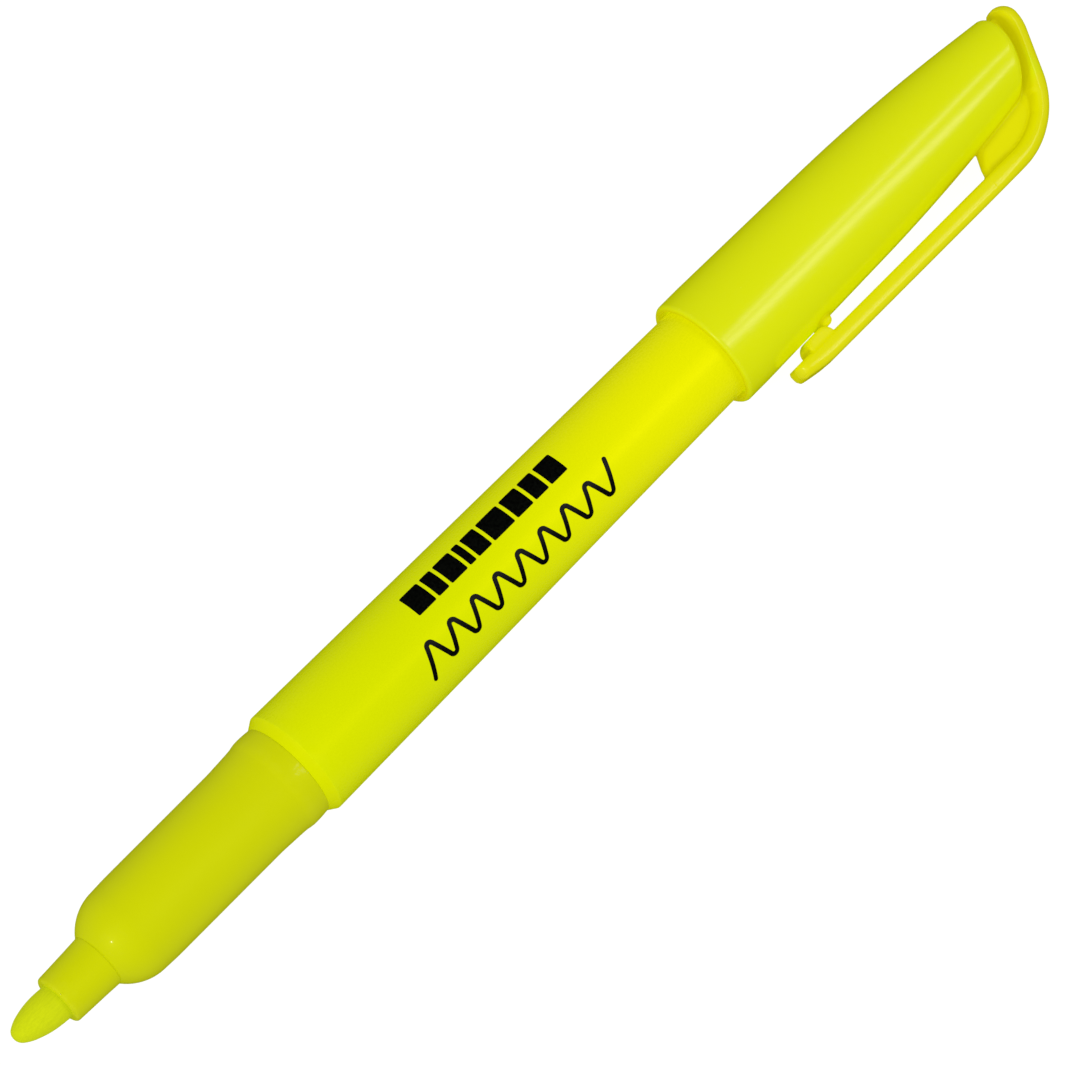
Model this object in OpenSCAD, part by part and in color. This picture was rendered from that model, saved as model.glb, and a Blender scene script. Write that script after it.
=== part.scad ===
// Pen-style highlighter, lying on its side with its cap posted on the rear of the barrel.
// Units are millimetres. Every piece is drawn in the pen's own frame, where x runs along the
// pen from the nib to the cap and x = 0 is the barrel's front shoulder, and place() then lays
// the pen on z = 0 with the middle of its box over the origin.

/* [Barrel] */
// Length of the barrel behind its front shoulder
barrel_len = 83.2; // [78:0.1:90]
// Barrel diameter at the front shoulder
shoulder_d = 12.4; // [12.2:0.1:12.6]
// Barrel diameter at its rear edge
barrel_rear_d = 10.36; // [10.2:0.02:10.4]
// Length of the bevel in front of the shoulder
bevel_len = 1.1; // [0.8:0.1:1.4]
// Bore that takes the front section's spigot
spigot_bore_d = 9.8; // [9.6:0.1:9.9]
// Number of ribs inside that centre the ink reservoir
rib_count = 4; // [3:1:6]

/* [Front section] */
// Diameter of the cylindrical grip
grip_d = 10.5; // [10.3:0.1:10.6]
// Distance from the shoulder to the front end of the grip
grip_reach = 23.8; // [22:0.1:26]
// Diameter of the bead that the cap snaps over
bead_d = 11.22; // [11:0.02:11.26]
// Radius of the domed shoulder between grip and nozzle
dome_r = 5.5; // [5.3:0.1:6]
// Distance from the shoulder to the front of the nozzle
nozzle_reach = 33.9; // [33:0.1:35]
// Diameter of the nozzle at its front
nozzle_d = 5.58; // [5.4:0.02:5.7]

/* [Nib] */
// Diameter of the fibre nib
nib_d = 4.1; // [3.9:0.02:4.2]
// How far the nib stands out of the nozzle
nib_out = 5.63; // [5:0.01:6]

/* [Cap] */
// Length of the cap from its mouth to its far end
cap_len = 47.3; // [46:0.1:48]
// Cap diameter at the mouth
cap_d = 13.06; // [13:0.02:13.2]
// Thickness of the cap's wall
cap_wall = 0.84; // [0.75:0.01:0.9]
// How far the posted cap reaches over the barrel's end
post_depth = 24; // [23:0.1:25]

/* [Clip] */
// Distance from the pen's axis to the outside of the clip's arm
arm_reach = 9.76; // [9.6:0.01:10]
// Thickness of the arm
arm_t = 2.1; // [1.8:0.05:2.3]
// Width of the arm and of the strap over the cap's end
arm_w = 4.7; // [4:0.1:5]
// Distance from the cap's mouth to the arm's tip
tip_inset = 5.2; // [4.2:0.1:6]
// Slant of the cap's end and of the strap that lies on it
end_slant = 24.5; // [20:0.5:28]
// Angle by which the clip points below the horizontal
clip_drop = 29; // [25:1:29]

/* [Hidden] */
$fn = 96;

// Fits
slip = 0.02;            // radial clearance of a pressed-in piece
turn_gap = 0.05;        // radial clearance of a piece that turns
cut = 1;                // how far a cutting tool reaches past what it cuts

// Barrel
plug_head_t = 0.9;
plug_skirt_len = 5;
plug_wall = 0.9;
barrel_rear_bore_d = 8.6;
spigot_len = 12.3;
rib_t = 0.7;
step_len = 1;           // length of the cone between two bores

// Ink reservoir, its film wrap and the breather tube between them
fibre_d = 7.4;
wrap_in_d = 7.64;
wrap_t = 0.13;
rib_circle_d = 8;       // circle that the ribs leave free
breather_d = 1;
breather_bore_d = 0.6;
breather_offset = 3.3;
fibre_front = -17;
nib_socket_len = 4;

// Front section
nozzle_draft = 0.29;    // growth of the nozzle's radius from its front to its base
front_edge = 0.35;
chamber_d = rib_circle_d;
nib_bore_d = nib_d + 2 * slip;
nib_bore_end = -25.5;
throat_d = 6.6;         // hollow in front of the reservoir, round the nib
neck_d = 10.94;
dome_drop = 0.05;       // the dome's top lies this far under the grip's surface

// Cap
straight_len = 21;      // mouth to where the cap starts to narrow
crown_len = 42;         // mouth to where the narrowing turns straight
slow_taper = 0.0195;
crown_rate = 0.0046;    // change of the taper per millimetre between the two
mouth_bore_d = 11.44;
snap_ring_at = 3.6;
snap_ring_d = 11.16;
snap_ring_len = 1.2;
seat_bore_d = 10.52;    // where the barrel's rear edge seats
cavity_len = 42.6;
end_edge = 0.7;         // rounding of the cap's far edge
end_height = 46.2;      // mouth to the slanted end, measured on the axis

// Inner cap
liner_gap = 2.3;        // free length between the barrel's plug and the inner cap
flange_t = 1;
liner_len = 15.9;
liner_wall = 0.75;
seal_bore_d = 6.2;
seal_len = 7;
nib_well_d = 6;

// Clip
strap_t = 2.6;          // where the strap leaves the cap's end
strap_lift = 3;         // from the cap's slanted end to the outside of the strap
bend_r = 10;
arm_tilt = 0.12;        // the arm's tip lies this much nearer the cap than its root
tip_round = 0.9;
boss_at = 9.4;          // mouth to the middle of the boss
boss_base = 3.4;
boss_top = 1;
boss_gap = 0.08;
stop_at = 11.35;        // mouth to the rib behind the boss
stop_r = 0.65;
stop_sink = 0.08;
web_t = 1.8;
pivot_gap = 0.03;
edge_round = 0.9;       // rounding of the arm's outer edges
arm_root = 34.3;        // mouth to the line where the arm bends away

// Where the pieces meet along the pen
pen_rear = barrel_len + plug_head_t;
mouth_x = pen_rear - post_depth;
cap_end_x = mouth_x + cap_len;
nib_tip_x = -nozzle_reach - nib_out;
pivot_x = mouth_x + arm_root;
pivot_s = arm_reach - arm_t / 2;
slant = tan(end_slant);
end_axis_x = mouth_x + end_height;
strap_out_x = end_axis_x + strap_lift / cos(end_slant);
strap_top_x = strap_out_x + 0.4;
strap_top_s = 3.7;
bend_s = arm_reach - bend_r;
bend_x = strap_out_x - bend_s * slant - bend_r / cos(end_slant);

// How the pen lies
rest_height = cap_d / 2;
arm_corner = arm_reach - edge_round;
clip_side = arm_corner * cos(clip_drop) + (arm_w / 2 - edge_round) * sin(clip_drop) + edge_round;
mid_x = (nib_tip_x + strap_top_x) / 2;
mid_y = (rest_height - clip_side) / 2;

// Radius of the barrel's outside at x
function barrel_r(x) = (shoulder_d + (barrel_rear_d - shoulder_d) * x / barrel_len) / 2;

// Radius of the cap's outside at a distance u from its mouth
function cap_r(u) =
    let (body = cap_d / 2 - slow_taper * max(0, u - 3))
    let (curved = max(0, min(u, crown_len) - straight_len))
    let (past = max(0, u - crown_len))
    body - crown_rate * curved * curved / 2 - crown_rate * (crown_len - straight_len) * past;

// Points of an arc about [cx, cy], from angle a to angle b, with n steps
function arc(cx, cy, r, a, b, n) =
    [for (i = [0:n]) [cx + r * cos(a + (b - a) * i / n), cy + r * sin(a + (b - a) * i / n)]];

// Lays the finished pen on its side over the origin
module place(roll = 0)
    translate([-mid_x, -mid_y, rest_height]) rotate([roll, 0, 0]) children();

// Turns an outline of [x, radius] points about the pen's axis
module lathe(outline)
    rotate([0, 90, 0]) rotate_extrude() polygon([for (p = outline) [p[1], p[0]]]);

// Round bar along the pen, from x = a to x = b
module rod(a, b, d)
    translate([a, 0, 0]) rotate([0, 90, 0]) cylinder(h = b - a, d = d);

// Plate of thickness t in the clip's plane, from an outline of [x, distance from the axis]
module plate(outline, t)
    linear_extrude(height = t, center = true) polygon([for (p = outline) [p[0], -p[1]]]);

// Keeps what lies inside the arm's width, with its two outer edges rounded
module round_edges() {
    half = arm_w / 2;
    low = -2 * strap_top_s;
    section = concat([[-half, low], [half, low]],
                     arc(half - edge_round, arm_corner, edge_round, 0, 90, 6),
                     arc(edge_round - half, arm_corner, edge_round, 90, 180, 6));
    intersection() {
        union() children();
        translate([mouth_x, 0, 0]) rotate([90, 0, 90])
            linear_extrude(height = 2 * cap_len) polygon([for (p = section) [-p[1], p[0]]]);
    }
}

module barrel_bore() {
    narrow_x = barrel_len - plug_skirt_len;
    lathe([[-bevel_len - cut, 0], [-bevel_len - cut, spigot_bore_d / 2],
           [spigot_len, spigot_bore_d / 2], [spigot_len + step_len, spigot_bore_d / 2 - 0.2],
           [narrow_x - step_len, barrel_rear_bore_d / 2 + 0.05], [narrow_x, barrel_rear_bore_d / 2],
           [barrel_len + cut, barrel_rear_bore_d / 2], [barrel_len + cut, 0]]);
}

module barrel_outside() {
    rear_edge = 0.3;
    lathe([[-bevel_len, 0], [-bevel_len, neck_d / 2 + 0.03], [-0.12, shoulder_d / 2 - 0.1],
           [0.12, shoulder_d / 2], [barrel_len - rear_edge, barrel_r(barrel_len - rear_edge)],
           [barrel_len, barrel_r(barrel_len) - rear_edge], [barrel_len, 0]]);
}

module inner_ribs() {
    rib_a = spigot_len + step_len + 0.5;
    rib_b = barrel_len - plug_skirt_len - step_len;
    rib_out = barrel_rear_bore_d / 2 + 0.5;
    difference() {
        for (i = [0:rib_count - 1]) rotate([360 / rib_count * i, 0, 0])
            translate([rib_a, -rib_t / 2, 0]) cube([rib_b - rib_a, rib_t, rib_out]);
        rod(rib_a - cut, rib_b + cut, rib_circle_d);
    }
}

module barrel() color([0.88, 0.93, 0.02]) place() {
    union() {
        difference() {
            barrel_outside();
            barrel_bore();
        }
        inner_ribs();
    }
}

// Hollow plug pressed into the barrel's rear, with a thin round head
module rear_plug() color([0.86, 0.9, 0.05]) place() {
    skirt_r = barrel_rear_bore_d / 2 - slip;
    skirt_x = barrel_len - plug_skirt_len;
    head_r = barrel_rear_d / 2 - 0.25;
    lathe([[skirt_x, skirt_r - plug_wall], [skirt_x, skirt_r - 0.3], [skirt_x + 0.3, skirt_r],
           [barrel_len, skirt_r], [barrel_len, head_r], [pen_rear - 0.5, head_r],
           [pen_rear - 0.15, head_r - 0.15], [pen_rear, head_r - 0.5], [pen_rear, 0],
           [barrel_len, 0], [barrel_len, skirt_r - plug_wall]]);
}

// Grip, snap bead, domed shoulder and nozzle in one moulding, with a spigot into the barrel
module front_section() color([0.78, 0.82, 0.03]) place() {
    grip_r = grip_d / 2;
    bead_r = bead_d / 2;
    spigot_r = spigot_bore_d / 2 - slip;
    nozzle_base_r = nozzle_d / 2 + nozzle_draft;
    dome_top = -grip_reach;
    dome_s = grip_r - dome_drop - dome_r;
    dome_end = asin((nozzle_base_r + 0.1 - dome_s) / dome_r);
    nozzle_base_x = dome_top - dome_r * cos(dome_end);
    lathe(concat(
        [[-nozzle_reach, nib_bore_d / 2], [-nozzle_reach, nozzle_d / 2 - front_edge],
         [front_edge / 3 - nozzle_reach, nozzle_d / 2 - front_edge / 3],
         [front_edge - nozzle_reach, nozzle_d / 2], [nozzle_base_x, nozzle_base_r]],
        arc(dome_top, dome_s, dome_r, 180 - dome_end, 90, 14),
        [[-22, grip_r], [-7.8, grip_r], [-6, grip_r + 0.09], [-4.4, bead_r - 0.12],
         [-3.6, bead_r - 0.02], [-3.1, bead_r], [-2.6, bead_r - 0.02], [-1.6, neck_d / 2],
         [-bevel_len, neck_d / 2], [-bevel_len, spigot_r], [spigot_len - 1.3, spigot_r],
         [spigot_len - 1, spigot_r - 0.3], [spigot_len - 1, chamber_d / 2],
         [fibre_front - 0.2, chamber_d / 2], [fibre_front - 0.2, throat_d / 2],
         [nib_bore_end + 2.5, throat_d / 2], [nib_bore_end, nib_bore_d / 2]]));
}

// Fibre nib: a rod with a pointed tail in the reservoir and a writing tip worn on one side
module nib() color([0.79, 0.86, 0.03]) place(clip_drop) {
    tail_x = fibre_front + nib_socket_len - 0.3;
    shank_x = 0.6 - nozzle_reach;
    union() {
        lathe([[shank_x, 0], [shank_x, nib_d / 2], [tail_x - 2, nib_d / 2], [tail_x, 0.6],
               [tail_x, 0]]);
        hull() {
            rod(-nozzle_reach - 0.5, shank_x, nib_d, $fn = 32);
            translate([-nozzle_reach - 2.6, 0.18, 0]) sphere(d = nib_d - 0.42, $fn = 32);
            translate([nib_tip_x + 0.9, 0.4, 0]) sphere(r = 0.9, $fn = 32);
        }
    }
}

// Fibre bundle that holds the ink, with a socket for the nib's tail and a groove for the tube
module ink_reservoir() color([0.85, 0.92, 0.1]) place() {
    fibre_rear = barrel_len - plug_skirt_len - 0.7;
    difference() {
        rod(fibre_front, fibre_rear, fibre_d);
        rod(fibre_front - cut, fibre_front + nib_socket_len, nib_d + 2 * turn_gap);
        translate([0, breather_offset, 0])
            rod(fibre_front - cut, fibre_rear + cut, breather_d + 2 * turn_gap);
    }
}

// Clear film wrapped round the fibre bundle
module reservoir_sleeve() color([0.93, 0.95, 0.8]) place() {
    sleeve_a = fibre_front + 0.2;
    sleeve_b = barrel_len - plug_skirt_len - 0.9;
    difference() {
        rod(sleeve_a, sleeve_b, wrap_in_d + 2 * wrap_t);
        rod(sleeve_a - cut, sleeve_b + cut, wrap_in_d);
    }
}

// Thin tube between fibre and film that lets air back into the reservoir
module breather_tube() color([0.9, 0.9, 0.86]) place() {
    tube_a = fibre_front + 0.5;
    tube_b = barrel_len - plug_skirt_len - 1.7;
    translate([0, breather_offset, 0]) difference() {
        rod(tube_a, tube_b, breather_d);
        rod(tube_a - cut, tube_b + cut, breather_bore_d);
    }
}

module cap_outside() {
    steps = 12;
    lathe(concat(
        [[mouth_x, 0], [mouth_x, cap_d / 2 - 0.25], [mouth_x + 0.25, cap_d / 2],
         [mouth_x + 3, cap_d / 2]],
        [for (i = [0:steps])
            let (u = straight_len + (crown_len - straight_len) * i / steps) [mouth_x + u, cap_r(u)]],
        [[cap_end_x - end_edge, cap_r(cap_len - end_edge)],
         [cap_end_x - 0.2, cap_r(cap_len) - 0.3], [cap_end_x, cap_r(cap_len) - end_edge],
         [cap_end_x, 0]]));
}

module cap_cavity() {
    seat_x = mouth_x + post_depth - plug_head_t;
    ring = snap_ring_len / 2;
    ring_x = mouth_x + snap_ring_at;
    mouth_r = mouth_bore_d / 2;
    follow = [27, 30, 33, 36, 39, cavity_len];
    lathe(concat(
        [[mouth_x - cut, 0], [mouth_x - cut, mouth_r + 0.15], [mouth_x, mouth_r + 0.15],
         [mouth_x + 0.15, mouth_r], [ring_x - ring, mouth_r], [ring_x, snap_ring_d / 2],
         [ring_x + ring, mouth_r], [mouth_x + 6, mouth_r - 0.04], [seat_x, seat_bore_d / 2]],
        [for (u = follow) [mouth_x + u, cap_r(u) - cap_wall]],
        [[mouth_x + cavity_len, 0]]));
}

// Everything beyond the cap's slanted end
module beyond_end() {
    reach = 2 * cap_d;
    plate([[end_axis_x + reach * slant, -reach], [end_axis_x - reach * slant, reach],
           [end_axis_x + reach, reach], [end_axis_x + reach, -reach]], reach);
}

// Strap of the clip, from the line where the arm bends away, round the bend and over the end
module strap() {
    sink = 0.5;
    line_in = end_axis_x - sink;
    top_r = 1.1;
    steps = 12;
    inner_start = end_slant + 20;
    inner_bend = [for (i = [0:steps])
        let (a = inner_start + (90 - inner_start) * i / steps)
        let (r = bend_r - strap_t + (strap_t - arm_t) * i / steps)
        [bend_x + r * cos(a), bend_s + r * sin(a)]];
    round_edges() plate(concat(
        [[pivot_x, arm_reach]],
        arc(bend_x, bend_s, bend_r, 90, end_slant, 16),
        [[strap_out_x + 0.9 * slant, -0.9]],
        arc(strap_top_x - top_r, top_r - strap_top_s, top_r, 0, -90, 5),
        [[cap_end_x + 0.4, -strap_top_s], [cap_end_x, 0.4 - strap_top_s],
         [cap_end_x - sink, 1 - strap_top_s], [line_in, 0], [line_in - 3.5 * slant, 3.5]],
        inner_bend,
        [[pivot_x, arm_reach - arm_t]]), arm_w);
}

// Thin web that fills the corner between the cap, the strap and the root of the arm
module web() {
    root_u = 36.6;
    root_x = mouth_x + root_u;
    plate(concat(
        [[root_x, cap_r(root_u) - 0.4], [root_x - 1.2, arm_reach - arm_t + 0.2]],
        arc(bend_x, bend_s, bend_r - arm_t / 2, 90, 40, 6),
        [[end_axis_x - 2.5, 4], [mouth_x + cavity_len, cap_r(cavity_len) - 0.4]]), web_t);
}

// Round bar across the cap that a pocket's edge snaps behind
module stop_rib()
    translate([mouth_x + stop_at, stop_sink - cap_r(stop_at), 0])
        cylinder(h = arm_w, r = stop_r, center = true);

module cap() color([0.85, 0.9, 0.02]) place(clip_drop) {
    difference() {
        union() {
            difference() {
                cap_outside();
                beyond_end();
            }
            strap();
            web();
            stop_rib();
        }
        cap_cavity();
        translate([pivot_x, -pivot_s, 0])
            cylinder(h = 2 * arm_w, r = arm_t / 2 + pivot_gap, center = true);
    }
}

// Cup inside the cap that seals round the nozzle when the cap is on the writing end
module inner_cap() color([0.95, 0.95, 0.9]) place() {
    front_u = post_depth + liner_gap;
    front_x = mouth_x + front_u;
    end_u = front_u + liner_len;
    end_x = mouth_x + end_u;
    flange_r = cap_r(front_u + flange_t) - cap_wall - turn_gap;
    end_r = cap_r(end_u) - cap_wall - turn_gap;
    seal_r = seal_bore_d / 2;
    tube_r = seal_r + liner_wall;
    lathe([[front_x, seal_r + 0.4], [front_x, flange_r], [front_x + flange_t, flange_r],
           [front_x + flange_t, tube_r], [end_x - 1, tube_r], [end_x - 0.8, end_r],
           [end_x, end_r], [end_x, 0],
           [end_x - liner_wall, 0], [end_x - liner_wall, nib_well_d / 2 - 0.5],
           [end_x - liner_wall - 0.5, nib_well_d / 2], [front_x + seal_len + 1, nib_well_d / 2],
           [front_x + seal_len, seal_r], [front_x + 1.6, seal_r], [front_x + 1.2, seal_r - 0.12],
           [front_x + 0.8, seal_r]]);
}

// Springy arm of the clip, with the boss that presses on the cap
module clip() color([0.85, 0.9, 0.02]) place(clip_drop) {
    tip_x = mouth_x + tip_inset;
    arm_in = arm_reach - arm_t;
    boss_x = mouth_x + boss_at;
    boss_s = cap_r(boss_at) + boss_gap;
    corner = (boss_base - boss_top) / 2;
    union() {
        round_edges() {
            plate(concat(
                [[pivot_x, arm_reach], [pivot_x, arm_in], [tip_x + 0.3, arm_in - arm_tilt]],
                [[tip_x, arm_in - arm_tilt + 0.3]],
                arc(tip_x + tip_round, arm_reach - arm_tilt - 1.3, tip_round, 180, 120, 4),
                [[tip_x + 1.9, arm_reach - arm_tilt - 0.25], [tip_x + 3.9, arm_reach - arm_tilt]]),
                arm_w);
            translate([pivot_x, -pivot_s, 0]) cylinder(h = arm_w, d = arm_t, center = true);
        }
        plate(concat(
            [[boss_x - boss_base / 2, arm_in + 0.3]],
            arc(boss_x - boss_top / 2, boss_s + corner, corner, 180, 270, 5),
            arc(boss_x + boss_top / 2, boss_s + corner, corner, 270, 360, 5),
            [[boss_x + boss_base / 2, arm_in + 0.3]]), arm_w - 0.6);
    }
}

barrel();
rear_plug();
front_section();
nib();
ink_reservoir();
reservoir_sleeve();
breather_tube();
cap();
inner_cap();
clip();
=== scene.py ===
import math

import bpy
import numpy as np
from mathutils import Matrix, Vector


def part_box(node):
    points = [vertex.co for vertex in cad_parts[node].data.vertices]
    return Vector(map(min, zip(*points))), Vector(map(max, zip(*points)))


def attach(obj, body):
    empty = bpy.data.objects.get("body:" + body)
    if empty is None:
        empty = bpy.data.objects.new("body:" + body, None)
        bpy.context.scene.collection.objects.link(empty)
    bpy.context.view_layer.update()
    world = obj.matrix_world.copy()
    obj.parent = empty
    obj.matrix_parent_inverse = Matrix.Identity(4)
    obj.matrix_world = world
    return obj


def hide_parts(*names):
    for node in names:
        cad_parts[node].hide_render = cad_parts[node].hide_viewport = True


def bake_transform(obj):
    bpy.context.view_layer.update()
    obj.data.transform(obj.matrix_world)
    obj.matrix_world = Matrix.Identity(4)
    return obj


# The pen's own frame, in millimetres: x runs along the pen from the nib to the cap with x = 0 at
# the barrel's front shoulder, s points to the clip's side and w across it.

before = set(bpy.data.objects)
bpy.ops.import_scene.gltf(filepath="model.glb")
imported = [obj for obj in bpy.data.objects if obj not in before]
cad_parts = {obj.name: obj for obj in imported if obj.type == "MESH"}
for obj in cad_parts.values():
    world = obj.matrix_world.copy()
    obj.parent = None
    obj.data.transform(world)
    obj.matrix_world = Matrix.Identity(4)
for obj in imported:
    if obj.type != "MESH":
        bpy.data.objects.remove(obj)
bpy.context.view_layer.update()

MM = 0.001
barrel_low, barrel_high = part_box("barrel")
BEVEL_LEN = 1.1
AXIS = Vector((barrel_low.x + BEVEL_LEN * MM, (barrel_low.y + barrel_high.y) / 2,
               (barrel_low.z + barrel_high.z) / 2))
CLIP_DROP = math.radians(29)     # the clip points this far below the horizontal
ALONG = Vector((1, 0, 0))
TO_CLIP = Vector((0, -math.cos(CLIP_DROP), -math.sin(CLIP_DROP)))
ACROSS = ALONG.cross(TO_CLIP)

# Barrel
BARREL_LEN = 83.2
SHOULDER_R = 6.2
REAR_R = 5.18
# Front section and nib
GRIP_X = -23.8           # where the grip ends and the domed shoulder begins
DOME_R = 5.5
NOZZLE_END = -33.85
NOZZLE_R = 2.83
NIB_R = 2.045
NIB_LEAN = 0.38          # how far the worn tip leans to one side
# Cap, with u measured from its mouth
MOUTH = 60.1
CAP_R = 6.53
CAP_WALL = 0.84
CAVITY_LEN = 42.6
SEAT_U = 23.1            # depth of the barrel in the cap
LIP = 0.2                # setback of the rounded lip
LIP_R = 0.5
END_X = 106.37           # where the slanted end crosses the axis
END_R = 0.75
STOP_U = 11.3            # the small rib behind the clip's boss
STOP_R = 0.68
# Clip
ARM_OUT = 9.83           # distance of the arm's outside from the axis
ARM_T = 2.1
ARM_HALF = 2.35
SIDE_R = 2.6             # radius that crowns the clip's sides
TIP_X = 65.3
BOSS_U = 9.4
BOSS_GAP = 0.08
PIVOT = 94.4             # the line at the arm's root about which it bends
ROOT = 91.5              # from here to the strap the arm hardly moves
STRAP_LIFT = 3.0
STRAP_X = 106.3
SLANT = math.radians(24.5)
BEND_R = 10.0
WEB_HALF = 0.9


def axis_point(x):
    """A point of the pen's axis, in the frame."""
    return AXIS + ALONG * x * MM


def to_frame(points):
    """Points of the pen's own frame, in millimetres, as metres in the shared frame."""
    basis = np.array([ALONG, TO_CLIP, ACROSS])
    return np.asarray(points, float) @ basis * MM + np.array(AXIS)


# ---------------------------------------------------------------- meshes

def make_piece(name, points, faces, material, **values):
    """A smooth-shaded mesh object from points in the pen's own frame. The values at each point go
    to its material: wear on outer edges, painted shade in corners and crevices, and painted light
    where light would come through the plastic."""
    mesh = bpy.data.meshes.new(name)
    mesh.from_pydata(to_frame(points).tolist(), [], [list(map(int, f)) for f in faces])
    mesh.validate()
    mesh.shade_smooth()
    for key, value in values.items():
        layer = mesh.attributes.new(key, "FLOAT", "POINT")
        layer.data.foreach_set("value", np.asarray(value, np.float32))
    mesh.materials.append(material)
    return placed(name, mesh)


def placed(name, data):
    """An object of this data, linked to the scene."""
    made = bpy.data.objects.new(name, data)
    bpy.context.scene.collection.objects.link(made)
    return made


def soft_corners(corners, closed=True):
    """Outline with each corner (x, y, radius) turned into an arc, with a support point on each
    side."""
    out = []
    n = len(corners)
    for i, (x, y, radius) in enumerate(corners):
        here = np.array([x, y])
        if not radius or (not closed and i in (0, n - 1)):
            out.append((x, y))
            continue
        before = np.array(corners[i - 1][:2]) - here
        after = np.array(corners[(i + 1) % n][:2]) - here
        len_a, len_b = np.linalg.norm(before), np.linalg.norm(after)
        before, after = before / len_a, after / len_b
        half = math.acos(max(-1, min(1, float(before @ after)))) / 2
        reach = min(radius / math.tan(half), 0.48 * len_a, 0.48 * len_b)
        r = reach * math.tan(half)
        middle = here + (before + after) / np.linalg.norm(before + after) * r / math.sin(half)
        start, end = here + before * reach, here + after * reach
        sweep = math.pi - 2 * half
        steps = max(2, math.ceil(math.degrees(sweep) / 11))
        a0 = math.atan2(*(start - middle)[::-1])
        turn = math.remainder(math.atan2(*(end - middle)[::-1]) - a0, 2 * math.pi)
        guard = min(0.08, 0.2 * len_a, 0.2 * len_b)
        if reach + guard < 0.5 * len_a:
            out.append(tuple(start + before * guard))
        for k in range(steps + 1):
            a = a0 + turn * k / steps
            out.append((middle[0] + r * math.cos(a), middle[1] + r * math.sin(a)))
        if reach + guard < 0.5 * len_b:
            out.append(tuple(end + after * guard))
    return out


def smooth_through(points, parts=5):
    """Catmull-Rom curve through a row of points."""
    p = [np.array(q, float) for q in points]
    p = [2 * p[0] - p[1]] + p + [2 * p[-1] - p[-2]]
    out = []
    for a, b, c, d in zip(p, p[1:], p[2:], p[3:]):
        for k in range(parts):
            t = k / parts
            out.append(0.5 * (2 * b + (c - a) * t + (2 * a - 5 * b + 4 * c - d) * t * t
                              + (3 * b - a - 3 * c + d) * t ** 3))
    return [tuple(q) for q in out] + [tuple(points[-1])]


def turned(outline, sides=160, centre=lambda x: 0.0, longest=2.5):
    """Points and faces of an outline of (x, radius) turned about the axis. It closes on itself."""
    outline = [(a[0] + (b[0] - a[0]) * k / n, a[1] + (b[1] - a[1]) * k / n)
               for a, b in zip(outline, outline[1:] + outline[:1])
               for n in [max(1, math.ceil(abs(b[0] - a[0]) / longest))] for k in range(n)]
    points, rings = [], []
    angles = [2 * math.pi * k / sides for k in range(sides)]
    for x, r in outline:
        off = centre(x)
        if r < 1e-6:
            rings.append([len(points)])
            points.append((x, off, 0))
        else:
            rings.append(list(range(len(points), len(points) + sides)))
            points += [(x, off + r * math.cos(a), r * math.sin(a)) for a in angles]
    faces = []
    for a, b in zip(rings, rings[1:] + rings[:1]):
        for k in range(sides):
            m = (k + 1) % sides
            if len(a) == 1 and len(b) == 1:
                break
            if len(a) == 1:
                faces.append((a[0], b[m], b[k]))
            elif len(b) == 1:
                faces.append((a[k], a[m], b[0]))
            else:
                faces.append((a[k], a[m], b[m], b[k]))
    return outward(points, faces)


def outward(points, faces):
    """The same faces, turned to face out."""
    p = np.asarray(points, float)
    volume = sum(np.dot(p[f[0]], np.cross(p[f[i]], p[f[i + 1]]))
                 for f in faces for i in range(1, len(f) - 1))
    return points, [tuple(reversed(f)) for f in faces] if volume < 0 else faces


def edge_wear(points, lines):
    """Wear from 0 to 1 near the lines (x, width, amount) round the pen."""
    x = np.asarray(points)[:, 0]
    return sum(amount * np.exp(-((x - at) / width) ** 2) for at, width, amount in lines)


def stands_for(piece, node, body):
    """The piece rides on the body and replaces the CAD node."""
    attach(piece, body)
    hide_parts(node)


# ---------------------------------------------------------------- solids with soft fillets

SLOPE_STEP = 1e-3                     # step of the slope's measurement
BEND_REACH = 0.12                     # step of the bend's measurement
SHARP_FROM, SHARP_SPAN = 0.9, 3.5     # bends in 1/mm between which wear goes from 0 to 1
# the painted shade is baked from the nearness of neighbouring solid at these distances
PAINTED_SHADE_REACH = (0.35, 0.8, 1.5, 2.5)  # distances at which a neighbour's nearness counts


def round_and(a, b, r):
    """What is inside both, with an edge of radius r."""
    return np.minimum(-r, np.maximum(a, b)) + np.hypot(np.maximum(r + a, 0), np.maximum(r + b, 0))


def round_or(a, b, r):
    """What is inside either, with a fillet of radius r."""
    return np.maximum(r, np.minimum(a, b)) - np.hypot(np.maximum(r - a, 0), np.maximum(r - b, 0))


def inside_outline(x, s, outline):
    """Signed distance to an outline in the clip's plane, negative inside it."""
    nearest = np.full(x.shape, 1e9)
    inside = np.zeros(x.shape, bool)
    for (ax, ay), (bx, by) in zip(outline, outline[1:] + outline[:1]):
        ex, ey = bx - ax, by - ay
        t = np.clip(((x - ax) * ex + (s - ay) * ey) / (ex * ex + ey * ey), 0, 1)
        nearest = np.minimum(nearest, (x - ax - t * ex) ** 2 + (s - ay - t * ey) ** 2)
        if ey:
            inside ^= ((ay > s) != (by > s)) & (x < ax + (s - ay) * ex / ey)
    return np.where(inside, -1, 1) * np.sqrt(nearest)


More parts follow.
